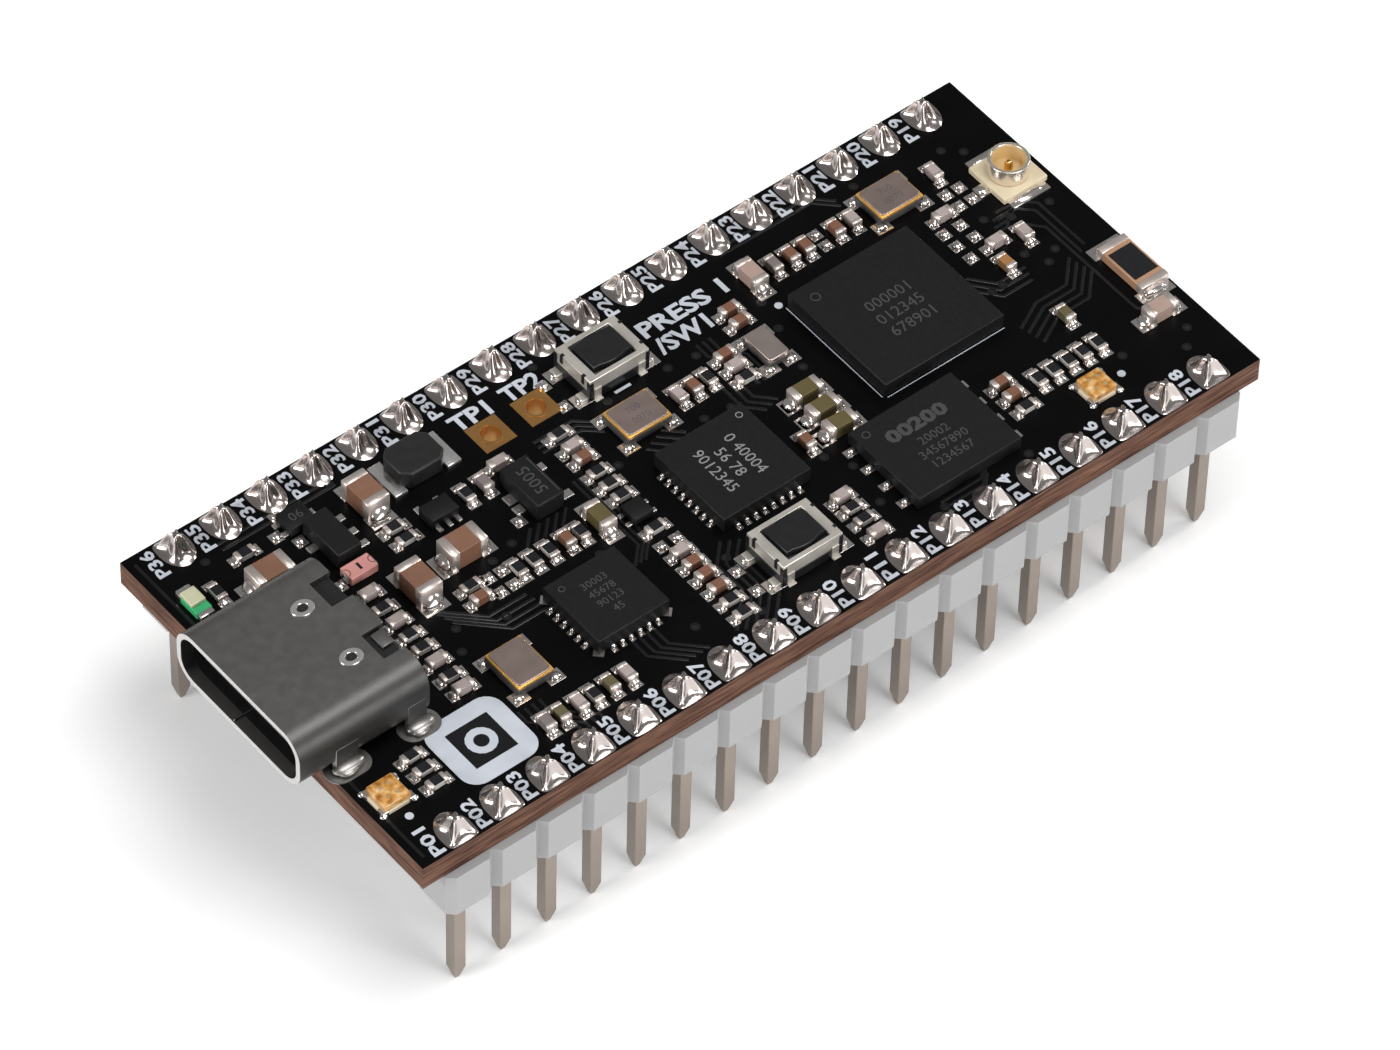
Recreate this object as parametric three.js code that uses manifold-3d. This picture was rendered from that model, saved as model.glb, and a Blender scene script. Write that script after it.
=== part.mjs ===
// Microcontroller dev board with two header rows, a USB-C socket and two press switches.
// Millimetres. Origin: centre of the board's underside, midway between the header rows.
// +X runs from the USB end to the antenna end, +Y to the far header row, +Z up.

import * as THREE from 'three';
import { mergeVertices } from 'three/addons/utils/BufferGeometryUtils.js';
import Module from 'manifold-3d';

const wasm = await Module();
wasm.setup();

// ---- Driving dimensions ----
const board = { length: 48, width: 22, thickness: 1.4 };
const underMask = { margin: 0.5, width: 17.4, thickness: 0.03 }; // coating between the header rows
const header = { pitch: 2.54, pins: 18, rowSpacing: 20.32, depth: 2.54, width: 2.54, neck: 0.36 };
const pin = {
  side: 0.64, tip: -8.8, taper: 0.75, tipSide: 0.26, riseAboveBoard: 0.85, rootSide: 0.34, rootTaper: 0.6,
  holeRadius: 0.5,
};
const pinSlotGap = 0.02;
const usb = { front: -25.66, rear: -18.56, width: 8.94, height: 3.16, corner: 1.2, wall: 0.3 };
const usbLeg = { thickness: 0.3, outerY: 4.5, bottom: -0.35, root: 1.5, slotGap: 0.15 };
const usbLegSpans = [[-23.7, -22.5], [-19.75, -18.75]];
const tongue = { front: -24.95, width: 6.7, thickness: 0.7, blockLength: 2.1, clearance: 0.06 };
const seat = 0.02; // solder stand-off between the board and what sits on it
const press = { travel: 0.25, sideGap: 0.1, preload: 0.05 };
const keySwitch = {
  length: 3.4, width: 2.6, height: 1.3, floor: 0.42, lip: 0.2, wall: 0.2,
  keyLength: 2.2, keyWidth: 1.6, keyBulge: 0.14, keyProud: 0.16, flange: 0.16, flangeThickness: 0.15,
  footLength: 0.36, footWidth: 0.55, footHeight: 0.2, footY: 0.95, footRoot: 0.1, floorPad: 0.1,
};
const inductor = { x: -10.31, y: 7.45, length: 2.5, width: 2.0, height: 1.0, corner: 0.4 };
const testHole = { radius: 0.52, y: 6.9, xs: [-6.36, -3.76] };

const boardTop = board.thickness;
const seatZ = boardTop + seat;
const circleSteps = 12;
const cutMargin = 1; // how far a cutting solid runs past what it cuts

const colours = {
  mask: [0x141416, 0.38, 0.0],
  plasticWhite: [0xd8d9da, 0.5, 0.0],
  nickel: [0xb3a595, 0.32, 0.9],
  steel: [0x77777a, 0.35, 0.9],
  blackPlastic: [0x1b1b1c, 0.5, 0.0],
  mould: [0x262627, 0.6, 0.0],
  switchFrame: [0xcbc6ba, 0.35, 0.85],
  crystalLid: [0x9c8f8b, 0.35, 0.8],
  cream: [0xe8d8bd, 0.5, 0.0],
  gold: [0xc89a4b, 0.3, 0.9],
  silver: [0xc9c7c4, 0.3, 0.9],
  ferrite: [0x2a2a2b, 0.45, 0.1],
};

const part = new THREE.Group();

function add(name, geometry, [colour, roughness, metalness], position = [0, 0, 0]) {
  const material = new THREE.MeshStandardMaterial({ color: colour, roughness, metalness });
  const mesh = new THREE.Mesh(geometry, material);
  mesh.name = name;
  mesh.position.set(...position);
  part.add(mesh);
  return mesh;
}

// ---- Solid helpers ----
function toSolid(geometry) {
  const bare = geometry.clone();
  bare.deleteAttribute('normal');
  bare.deleteAttribute('uv');
  const merged = mergeVertices(bare, 1e-5);
  return new wasm.Manifold(new wasm.Mesh({
    numProp: 3,
    vertProperties: new Float32Array(merged.attributes.position.array),
    triVerts: new Uint32Array(merged.index.array),
  }));
}

function toGeometry(solid) {
  const { vertProperties, triVerts } = solid.getMesh();
  const geometry = new THREE.BufferGeometry();
  geometry.setAttribute('position', new THREE.BufferAttribute(vertProperties, 3));
  geometry.setIndex(new THREE.BufferAttribute(triVerts, 1));
  geometry.computeVertexNormals();
  return geometry;
}

// A box given by its low and high corners.
function block([x0, y0, z0], [x1, y1, z1]) {
  return new THREE.BoxGeometry(x1 - x0, y1 - y0, z1 - z0)
    .translate((x0 + x1) / 2, (y0 + y1) / 2, (z0 + z1) / 2);
}

// A package body standing on the board, centred on its own x and y.
function body(length, width, height) {
  return block([-length / 2, -width / 2, 0], [length / 2, width / 2, height]);
}

// The low and high end of a stretch that lies on the -1 or the +1 side of an axis.
function spanOf(side, near, far) {
  return side > 0 ? [near, far] : [-far, -near];
}

function roundedRectangle(path, width, height, radius) {
  const x = width / 2 - radius;
  const y = height / 2 - radius;
  const quarter = Math.PI / 2;
  path.moveTo(x, -y - radius);
  path.absarc(x, -y, radius, -quarter, 0, false);
  path.absarc(x, y, radius, 0, quarter, false);
  path.absarc(-x, y, radius, quarter, 2 * quarter, false);
  path.absarc(-x, -y, radius, 2 * quarter, 3 * quarter, false);
  path.lineTo(x, -y - radius);
  return path;
}

function prism(shape, depth, curveSegments = 6) {
  return new THREE.ExtrudeGeometry(shape, { depth, steps: 1, bevelEnabled: false, curveSegments });
}

const rows = [{ side: 'left', y: -header.rowSpacing / 2 }, { side: 'right', y: header.rowSpacing / 2 }];
const pinXs = Array.from({ length: header.pins }, (_, i) => (i - (header.pins - 1) / 2) * header.pitch);

// ---- Circuit board: a fibreglass plate drilled for the pins, two test holes and the socket's legs ----
function makeBoard() {
  const [x, y] = [board.length / 2, board.width / 2];
  const [maskX, maskY] = [x - underMask.margin, underMask.width / 2];
  const coating = block([-maskX, -maskY, 0], [maskX, maskY, 2 * underMask.thickness]);
  let plate = toSolid(block([-x, -y, underMask.thickness], [x, y, boardTop])).add(toSolid(coating));
  const drill = (holeX, holeY, radius) => {
    const bit = new THREE.CylinderGeometry(radius, radius, 3 * boardTop, circleSteps);
    plate = plate.subtract(toSolid(bit.rotateX(Math.PI / 2).translate(holeX, holeY, 0)));
  };
  for (const row of rows) {
    for (const pinX of pinXs) drill(pinX, row.y, pin.holeRadius);
  }
  for (const holeX of testHole.xs) drill(holeX, testHole.y, testHole.radius);
  for (const [x0, x1] of usbLegSpans) {
    for (const side of [-1, 1]) {
      const innerY = usbLeg.outerY - usbLeg.thickness - usbLeg.slotGap;
      const [y0, y1] = spanOf(side, innerY, usbLeg.outerY + usbLeg.slotGap);
      const slot = block(
        [x0 - usbLeg.slotGap, y0, -cutMargin], [x1 + usbLeg.slotGap, y1, boardTop + cutMargin]);
      plate = plate.subtract(toSolid(slot));
    }
  }
  return toGeometry(plate);
}
add('circuit_board', makeBoard(), colours.mask);

// ---- Header strips: one moulded insulator per row, waisted between the pins ----
function makeStrip() {
  const half = header.width / 2;
  const reach = header.pitch / 2;
  const lower = [];
  for (const x of pinXs) {
    lower.push([x - reach, -half + header.neck], [x - reach + header.neck, -half]);
    lower.push([x + reach - header.neck, -half]);
  }
  const lastX = pinXs[pinXs.length - 1] + reach;
  lower.push([lastX, -half + header.neck]);
  const upper = lower.map(([x, y]) => [x, -y]).reverse();
  const outline = new THREE.Shape([...lower, ...upper].map(([x, y]) => new THREE.Vector2(x, y)));
  let strip = toSolid(prism(outline, header.depth));
  const slot = pin.side / 2 + pinSlotGap;
  for (const x of pinXs) {
    const cutter = block([x - slot, -slot, -cutMargin], [x + slot, slot, header.depth + cutMargin]);
    strip = strip.subtract(toSolid(cutter));
  }
  return toGeometry(strip);
}

// ---- Header pins: square posts with a tapered tip, narrower again at the soldered end ----
function makePin() {
  const corner = Math.SQRT2 / 2;
  const top = boardTop + pin.riseAboveBoard;
  const profile = [
    [0, pin.tip], [pin.tipSide * corner, pin.tip],
    [pin.side * corner, pin.tip + pin.taper], [pin.side * corner, top - pin.rootTaper],
    [pin.rootSide * corner, top], [0, top],
  ].map(([r, z]) => new THREE.Vector2(r, z));
  const post = new THREE.LatheGeometry(profile, 4);
  post.rotateY(Math.PI / 4);
  return post.rotateX(Math.PI / 2);
}

for (const row of rows) {
  add(`header_strip_${row.side}`, makeStrip(), colours.plasticWhite, [0, row.y, -header.depth]);
  pinXs.forEach((x, i) => {
    const number = String(i + 1).padStart(2, '0');
    add(`pin_${row.side}_${number}`, makePin(), colours.nickel, [x, row.y, 0]);
  });
}

// ---- USB-C socket: a folded steel shell on four legs, and the moulded tongue inside it ----
const usbMiddleZ = boardTop + usb.height / 2;

function alongX(shape, x0, x1) {
  const tube = prism(shape, x1 - x0);
  tube.rotateX(Math.PI / 2);
  tube.rotateZ(Math.PI / 2);
  return tube.translate(x0, 0, usbMiddleZ);
}

function makeShell() {
  const outline = roundedRectangle(new THREE.Shape(), usb.width, usb.height, usb.corner);
  const mouth = roundedRectangle(
    new THREE.Path(), usb.width - 2 * usb.wall, usb.height - 2 * usb.wall, usb.corner - usb.wall);
  outline.holes.push(mouth);
  let shell = toSolid(alongX(outline, usb.front, usb.rear));
  for (const [x0, x1] of usbLegSpans) {
    for (const side of [-1, 1]) {
      const [y0, y1] = spanOf(side, usbLeg.outerY - usbLeg.thickness, usbLeg.outerY);
      const leg = block([x0, y0, usbLeg.bottom], [x1, y1, boardTop + usbLeg.root]);
      shell = shell.add(toSolid(leg));
    }
  }
  const notch = { start: -19.7, inner: 1.05, outer: 2.7, depth: 0.58 };
  for (const side of [-1, 1]) {
    const [y0, y1] = spanOf(side, notch.inner, notch.outer);
    const roof = usbMiddleZ + usb.height / 2;
    const cutter = block(
      [notch.start, y0, roof - notch.depth], [usb.rear + cutMargin, y1, roof + cutMargin]);
    shell = shell.subtract(toSolid(cutter));
  }
  return toGeometry(shell);
}
add('usb_shell', makeShell(), colours.steel);

function makeTongue() {
  const inset = usb.wall + tongue.clearance;
  const blockOutline = roundedRectangle(
    new THREE.Shape(), usb.width - 2 * inset, usb.height - 2 * inset, usb.corner - inset);
  const blockFront = usb.rear - tongue.blockLength;
  const rearBlock = toSolid(alongX(blockOutline, blockFront, usb.rear - tongue.clearance));
  const plate = block(
    [tongue.front, -tongue.width / 2, usbMiddleZ - tongue.thickness / 2],
    [blockFront + 0.5, tongue.width / 2, usbMiddleZ + tongue.thickness / 2]);
  return toGeometry(rearBlock.add(toSolid(plate)));
}
add('usb_tongue', makeTongue(), colours.blackPlastic);

// ---- Press switches: a folded metal case with a captive key that travels down ----
function makeSwitchCase() {
  const s = keySwitch;
  const [x, y] = [s.length / 2, s.width / 2];
  let solid = toSolid(block([-x, -y, 0], [x, y, s.height]));
  const [cx, cy] = [x - s.wall, y - s.wall];
  solid = solid.subtract(toSolid(block([-cx, -cy, s.floor], [cx, cy, s.height - s.lip])));
  const [wx, wy] = [s.keyLength / 2 + press.sideGap, s.keyWidth / 2 + s.keyBulge + press.sideGap];
  solid = solid.subtract(toSolid(block([-wx, -wy, s.floor + s.floorPad], [wx, wy, s.height + cutMargin])));
  for (const endX of [-1, 1]) {
    for (const sideY of [-1, 1]) {
      const [x0, x1] = spanOf(endX, x - s.footRoot, x + s.footLength);
      const middle = sideY * s.footY;
      const foot = block([x0, middle - s.footWidth / 2, 0], [x1, middle + s.footWidth / 2, s.footHeight]);
      solid = solid.add(toSolid(foot));
    }
  }
  return toGeometry(solid);
}

// The key's long sides bulge, and a flange under the case's lip keeps it in.
function makeSwitchKey() {
  const s = keySwitch;
  const [x, y] = [s.keyLength / 2, s.keyWidth / 2];
  const shape = new THREE.Shape();
  shape.moveTo(-x, -y);
  shape.lineTo(-0.7 * x, -y);
  shape.quadraticCurveTo(0, -y - 2 * s.keyBulge, 0.7 * x, -y);
  shape.lineTo(x, -y);
  shape.lineTo(x, y);
  shape.lineTo(0.7 * x, y);
  shape.quadraticCurveTo(0, y + 2 * s.keyBulge, -0.7 * x, y);
  shape.lineTo(-x, y);
  const bottom = s.height - s.lip - press.preload - s.flangeThickness;
  const top = s.height + s.keyProud;
  const key = toSolid(prism(shape, top - bottom).translate(0, 0, bottom));
  const [fx, fy] = [x + s.flange, y + s.flange];
  const flange = toSolid(block([-fx, -fy, bottom], [fx, fy, bottom + s.flangeThickness]));
  return toGeometry(key.add(flange));
}

const switches = { boot: [0.05, 6.95], reset: [0.0, -6.9] };
for (const [name, [x, y]] of Object.entries(switches)) {
  add(`${name}_switch_case`, makeSwitchCase(), colours.switchFrame, [x, y, seatZ]);
  add(`${name}_switch_button`, makeSwitchKey(), colours.blackPlastic, [x, y, seatZ]);
}

// ---- Chips and other packages soldered to the top: [x, y], [length, width, height], colour ----
const packages = {
  radio_chip: [[12.54, 1.16], [7, 7, 0.85], colours.mould],
  interface_chip: [[0.74, -1.61], [5, 5, 0.85], colours.mould],
  hub_chip: [[-8.56, -4.23], [4, 4, 0.85], colours.mould],
  flash_chip: [[8.94, -5.94], [6, 5, 0.75], colours.mould],
  radio_crystal: [[16.84, 6.8], [2.5, 2.0, 0.65], colours.crystalLid],
  interface_crystal: [[-0.71, 3.42], [2.5, 2.0, 0.65], colours.crystalLid],
  hub_crystal: [[-13.86, -4.78], [2.0, 2.5, 0.65], colours.crystalLid],
  clock_crystal: [[6.59, 3.17], [1.2, 2.0, 0.55], colours.crystalLid],
  chip_antenna: [[23.04, -3.22], [1.6, 3.2, 0.5], colours.blackPlastic],
  diode_package: [[-15.96, 6.04], [1.3, 2.7, 0.95], colours.blackPlastic],
  regulator_package: [[-7.16, 2.87], [1.5, 2.8, 1.05], colours.blackPlastic],
};
for (const [name, [[x, y], size, colour]] of Object.entries(packages)) {
  add(name, body(...size), colour, [x, y, seatZ]);
}

// ---- Power inductor: a ferrite block with cut corners ----
function makeInductor() {
  const [x, y, cut] = [inductor.length / 2, inductor.width / 2, inductor.corner];
  const shape = new THREE.Shape([
    [x, -y + cut], [x, y - cut], [x - cut, y], [-x + cut, y],
    [-x, y - cut], [-x, -y + cut], [-x + cut, -y], [x - cut, -y],
  ].map(([px, py]) => new THREE.Vector2(px, py)));
  return prism(shape, inductor.height);
}
add('power_inductor', makeInductor(), colours.ferrite, [inductor.x, inductor.y, seatZ]);

// ---- Antenna socket: a square base, a contact ring and a centre pin on one axis ----
const socket = {
  x: 22.24, y: 4.7, base: 2.6, baseHeight: 0.35, ringOuter: 1.0, ringInner: 0.84, ringHeight: 0.9,
};
const contact = { radius: 0.2, height: 0.7, shoulder: 0.56, noseRadius: 0.11 };

function ring(outer, inner, height) {
  const profile = [[inner, 0], [outer, 0], [outer, height], [inner, height], [inner, 0]];
  return new THREE.LatheGeometry(profile.map(([r, z]) => new THREE.Vector2(r, z)), 24).rotateX(Math.PI / 2);
}

function contactPin({ radius, height, shoulder, noseRadius }) {
  const profile = [[0, 0], [radius, 0], [radius, shoulder], [noseRadius, height], [0, height]];
  const points = profile.map(([r, z]) => new THREE.Vector2(r, z));
  return new THREE.LatheGeometry(points, circleSteps).rotateX(Math.PI / 2);
}

const socketTop = seatZ + socket.baseHeight + seat;
add('antenna_socket_base', body(socket.base, socket.base, socket.baseHeight), colours.cream,
  [socket.x, socket.y, seatZ]);
add('antenna_socket_ring', ring(socket.ringOuter, socket.ringInner, socket.ringHeight), colours.silver,
  [socket.x, socket.y, socketTop]);
add('antenna_socket_pin', contactPin(contact), colours.gold, [socket.x, socket.y, socketTop]);

export default part;
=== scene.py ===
import math
import random

import bmesh
import bpy
from mathutils import Matrix, Vector


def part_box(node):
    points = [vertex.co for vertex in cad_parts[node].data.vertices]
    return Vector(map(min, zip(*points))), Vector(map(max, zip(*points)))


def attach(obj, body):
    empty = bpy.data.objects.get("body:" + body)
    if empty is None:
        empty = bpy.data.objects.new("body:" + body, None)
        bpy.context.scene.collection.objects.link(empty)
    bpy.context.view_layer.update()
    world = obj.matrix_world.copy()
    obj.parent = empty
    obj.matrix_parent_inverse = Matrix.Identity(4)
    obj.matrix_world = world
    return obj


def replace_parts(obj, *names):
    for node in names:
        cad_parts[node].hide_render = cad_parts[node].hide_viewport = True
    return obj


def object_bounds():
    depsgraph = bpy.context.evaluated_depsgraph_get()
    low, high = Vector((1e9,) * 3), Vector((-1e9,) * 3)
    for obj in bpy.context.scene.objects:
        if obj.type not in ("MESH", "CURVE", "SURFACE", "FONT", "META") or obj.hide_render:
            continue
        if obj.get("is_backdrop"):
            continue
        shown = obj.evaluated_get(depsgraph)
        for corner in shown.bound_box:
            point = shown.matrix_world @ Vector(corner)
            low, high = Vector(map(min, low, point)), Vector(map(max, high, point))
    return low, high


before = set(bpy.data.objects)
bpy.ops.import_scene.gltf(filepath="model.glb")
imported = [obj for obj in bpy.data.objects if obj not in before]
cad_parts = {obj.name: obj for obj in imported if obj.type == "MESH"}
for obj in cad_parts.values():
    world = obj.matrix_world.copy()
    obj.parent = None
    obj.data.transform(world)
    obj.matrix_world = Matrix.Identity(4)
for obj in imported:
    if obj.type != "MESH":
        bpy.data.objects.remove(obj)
cad_box = [list(corner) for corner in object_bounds()]

# ---- Camera, floor and lamps ----
# A long lens looks down on the board from beyond its USB end, over a white table. Four softboxes stand round
# it in a pale tent, so that the bright metal has wide, soft reflections.
MM = 0.001
scene = bpy.context.scene
scene.view_settings.view_transform = "Standard"
azimuth, elevation, roll = math.radians(-40.02), math.radians(49.30), math.radians(1.58)
aim = Vector((-2.31, -3.10, 1.4)) * MM
camera_distance = 381.98 * MM
back = Vector((math.sin(azimuth) * math.cos(elevation),
               -math.cos(azimuth) * math.cos(elevation),
               math.sin(elevation)))
camera_data = bpy.data.cameras.new("camera")
camera_data.lens = 220.2
camera_data.sensor_width = 36.0
camera_data.clip_start = 0.01
camera = bpy.data.objects.new("camera", camera_data)
camera.matrix_world = (Matrix.Translation(aim + back * camera_distance)
                       @ back.to_track_quat("Z", "Y").to_matrix().to_4x4()
                       @ Matrix.Rotation(roll, 4, "Z"))
scene.collection.objects.link(camera)
scene.camera = camera


def soft_lamp(name, place_mm, size_mm, power, tint=(1.0, 1.0, 1.0)):
    """A square softbox that faces the board."""
    lamp_data = bpy.data.lights.new(name, "AREA")
    lamp_data.size = size_mm * MM
    lamp_data.energy = power
    lamp_data.color = tint
    lamp = bpy.data.objects.new(name, lamp_data)
    place = Vector(place_mm) * MM
    lamp.matrix_world = Matrix.Translation(place) @ place.to_track_quat("Z", "Y").to_matrix().to_4x4()
    scene.collection.objects.link(lamp)


soft_lamp("overhead_softbox", (40, -90, 420), 240, 0.95)
soft_lamp("left_softbox", (-420, 60, 170), 220, 1.3)
soft_lamp("front_softbox", (80, -420, 120), 240, 1.15)
soft_lamp("right_strip", (430, -40, 260), 80, 0.5, (1.0, 0.97, 0.93))

world = bpy.data.worlds.new("light_tent")
scene.world = world
world.use_nodes = True
tent = world.node_tree.nodes["Background"]
tent.inputs["Color"].default_value = (0.98, 0.99, 1.0, 1.0)
tent.inputs["Strength"].default_value = 0.17

table_skin = bpy.data.materials.new("white_table")
table_skin.use_nodes = True
table_top = table_skin.node_tree.nodes["Principled BSDF"]
table_top.inputs["Base Color"].default_value = (0.93, 0.93, 0.93, 1.0)
table_top.inputs["Roughness"].default_value = 0.7
table_top.inputs["Emission Color"].default_value = (1.0, 1.0, 1.0, 1.0)
table_top.inputs["Emission Strength"].default_value = 0.22
table_mesh = bmesh.new()
bmesh.ops.create_grid(table_mesh, x_segments=1, y_segments=1, size=2.0)
bmesh.ops.translate(table_mesh, vec=(0, 0, cad_box[0][2]), verts=table_mesh.verts)
table_data = bpy.data.meshes.new("table")
table_mesh.to_mesh(table_data)
table_mesh.free()
table_data.materials.append(table_skin)
table = bpy.data.objects.new("table", table_data)
scene.collection.objects.link(table)
table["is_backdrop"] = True

# ---- Circuit board ----
# A routed glass-fibre laminate: its brown, layered edge shows round a satin black mask on both faces.
# The board keeps its drilled solid, and the finish turns from mask to laminate on the upright faces.


def add_node(nodes, kind, **values):
    """A shader node with the values of its sockets."""
    node = nodes.new(f"ShaderNode{kind}")
    for socket, value in values.items():
        node.inputs[socket.replace("_", " ")].default_value = value
    return node


def skin(name, tint, roughness, metallic=0.0, mottle=0.12, grain_mm=0.25, relief_um=4.0, coat=0.0):
    """A finish whose tint and gloss drift over the surface, with a fine grain in its relief."""
    material = bpy.data.materials.new(name)
    material.use_nodes = True
    nodes, links = material.node_tree.nodes, material.node_tree.links
    shader = nodes["Principled BSDF"]
    shader.inputs["Metallic"].default_value = metallic
    shader.inputs["Coat Weight"].default_value = coat
    place = add_node(nodes, "TexCoord")
    drift = add_node(nodes, "TexNoise", Scale=0.25 / (grain_mm * MM), Detail=3.0)
    links.new(place.outputs["Object"], drift.inputs["Vector"])
    tone = add_node(nodes, "Mix")
    tone.data_type = "RGBA"
    tone.inputs["A"].default_value = (*[c * (1 - mottle) for c in tint], 1.0)
    tone.inputs["B"].default_value = (*[min(1.0, c * (1 + mottle)) for c in tint], 1.0)
    links.new(drift.outputs["Fac"], tone.inputs["Factor"])
    links.new(tone.outputs["Result"], shader.inputs["Base Color"])
    gloss = add_node(nodes, "MapRange", To_Min=roughness * 0.8, To_Max=min(1.0, roughness * 1.2))
    links.new(drift.outputs["Fac"], gloss.inputs["Value"])
    links.new(gloss.outputs["Result"], shader.inputs["Roughness"])
    grain = add_node(nodes, "TexNoise", Scale=1.0 / (grain_mm * MM), Detail=2.0)
    links.new(place.outputs["Object"], grain.inputs["Vector"])
    relief = add_node(nodes, "Bump", Distance=relief_um * 1e-6, Strength=0.6)
    links.new(grain.outputs["Fac"], relief.inputs["Height"])
    links.new(relief.outputs["Normal"], shader.inputs["Normal"])
    return material


def laminate_skin():
    """Black mask where the surface faces up or down, and layered brown glass-fibre on the cut edge."""
    material = skin("board_mask_and_edge", (0.0020, 0.0020, 0.0023), 0.33, mottle=0.25, grain_mm=0.5,
                    relief_um=3)
    nodes, links = material.node_tree.nodes, material.node_tree.links
    mask = nodes["Principled BSDF"]
    mask.inputs["Specular IOR Level"].default_value = 0.11
    edge = add_node(nodes, "BsdfPrincipled", Roughness=0.75, Specular_IOR_Level=0.2)
    place = add_node(nodes, "TexCoord")
    stretch = add_node(nodes, "Mapping", Scale=(520, 520, 6500))
    links.new(place.outputs["Object"], stretch.inputs["Vector"])
    plies = add_node(nodes, "TexNoise", Scale=1.0, Detail=4.0)
    links.new(stretch.outputs["Vector"], plies.inputs["Vector"])
    browns = add_node(nodes, "ValToRGB")
    dark, pale = browns.color_ramp.elements
    dark.position, dark.color = 0.3, (0.040, 0.014, 0.008, 1)
    pale.position, pale.color = 0.72, (0.185, 0.092, 0.058, 1)
    links.new(plies.outputs["Fac"], browns.inputs["Fac"])
    links.new(browns.outputs["Color"], edge.inputs["Base Color"])
    facing = add_node(nodes, "NewGeometry")
    split = add_node(nodes, "SeparateXYZ")
    links.new(facing.outputs["True Normal"], split.inputs["Vector"])
    upright = add_node(nodes, "Math")
    upright.operation = "ABSOLUTE"
    links.new(split.outputs["Z"], upright.inputs[0])
    flat = add_node(nodes, "Math")
    flat.operation = "GREATER_THAN"
    flat.inputs[1].default_value = 0.5
    links.new(upright.outputs["Value"], flat.inputs[0])
    mix = add_node(nodes, "MixShader")
    links.new(flat.outputs["Value"], mix.inputs["Fac"])
    links.new(edge.outputs["BSDF"], mix.inputs[1])
    links.new(mask.outputs["BSDF"], mix.inputs[2])
    links.new(mix.outputs["Shader"], nodes["Material Output"].inputs["Surface"])
    return material


def measure(node):
    """The lowest corner, highest corner, middle and span of a CAD node, in millimetres."""
    low, high = (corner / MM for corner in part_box(node))
    return low, high, (low + high) / 2, high - low


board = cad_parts["circuit_board"]
board.data.materials.clear()
board.data.materials.append(laminate_skin())
board_corner = measure("circuit_board")[1]
deck = board_corner.z
# Plated and printed layers start just inside the laminate, so that no gap shows.
pad_seat = deck - 0.005


def add_piece(name, bm, material, body="board", sharp_degrees=35.0, rounding=0.0):
    """Turns a bmesh drawn in millimetres into a piece that rides on a CAD body."""
    bmesh.ops.scale(bm, vec=(MM, MM, MM), verts=bm.verts)
    bmesh.ops.recalc_face_normals(bm, faces=bm.faces)
    for face in bm.faces:
        face.smooth = True
    for rim in bm.edges:
        rim.smooth = len(rim.link_faces) == 2 and rim.calc_face_angle(0) < math.radians(sharp_degrees)
    data = bpy.data.meshes.new(name)
    bm.to_mesh(data)
    bm.free()
    data.materials.append(material)
    piece = bpy.data.objects.new(name, data)
    scene.collection.objects.link(piece)
    if rounding:
        worn = piece.modifiers.new("edge_rounding", "BEVEL")
        worn.width = rounding * MM
        worn.segments = 2
        worn.limit_method = "ANGLE"
        worn.angle_limit = math.radians(35)
    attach(piece, body)
    return piece


def linked(verts, kind):
    """The edges or faces that some vertices belong to, each once and always in the same order."""
    return list(dict.fromkeys(part for vert in verts for part in getattr(vert, kind)))


def add_block(bm, x, y, z, length, width, height, turn=0.0, bevel=0.0, segments=2):
    """A block standing on z. Its corners are returned for more shaping, where it isn't bevelled here."""
    place = (Matrix.Translation((x, y, z + height / 2)) @ Matrix.Rotation(math.radians(turn), 4, "Z")
             @ Matrix.Diagonal((length, width, height, 1)))
    corners = bmesh.ops.create_cube(bm, size=1, matrix=place)["verts"]
    if bevel:
        bmesh.ops.bevel(bm, geom=linked(corners, "link_edges"), offset=bevel, offset_type="OFFSET",
                        segments=segments, profile=0.5, affect="EDGES", material=-1, clamp_overlap=True)
    return corners


# ---- Copper under the mask, and vias ----
# Etched tracks 0.16 mm wide stand a hair proud under the mask on both faces, in bundles with mitred corners.
# Each via is a small plated hole that the mask dips into.
track_skin = skin("masked_copper", (0.0064, 0.0064, 0.0074), 0.28, mottle=0.2, grain_mm=0.4, relief_um=2)


def pour_shape(bm, shape, fit):
    """Turns a curve or some lettering into mesh, lets fit place it, and adds it to a bmesh."""
    shown = bpy.data.objects.new("shape", shape)
    scene.collection.objects.link(shown)
    drawn = bpy.data.meshes.new_from_object(shown.evaluated_get(bpy.context.evaluated_depsgraph_get()))
    drawn.transform(fit(drawn))
    bm.from_mesh(drawn)
    bpy.data.objects.remove(shown)
    bpy.data.meshes.remove(drawn)


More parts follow.
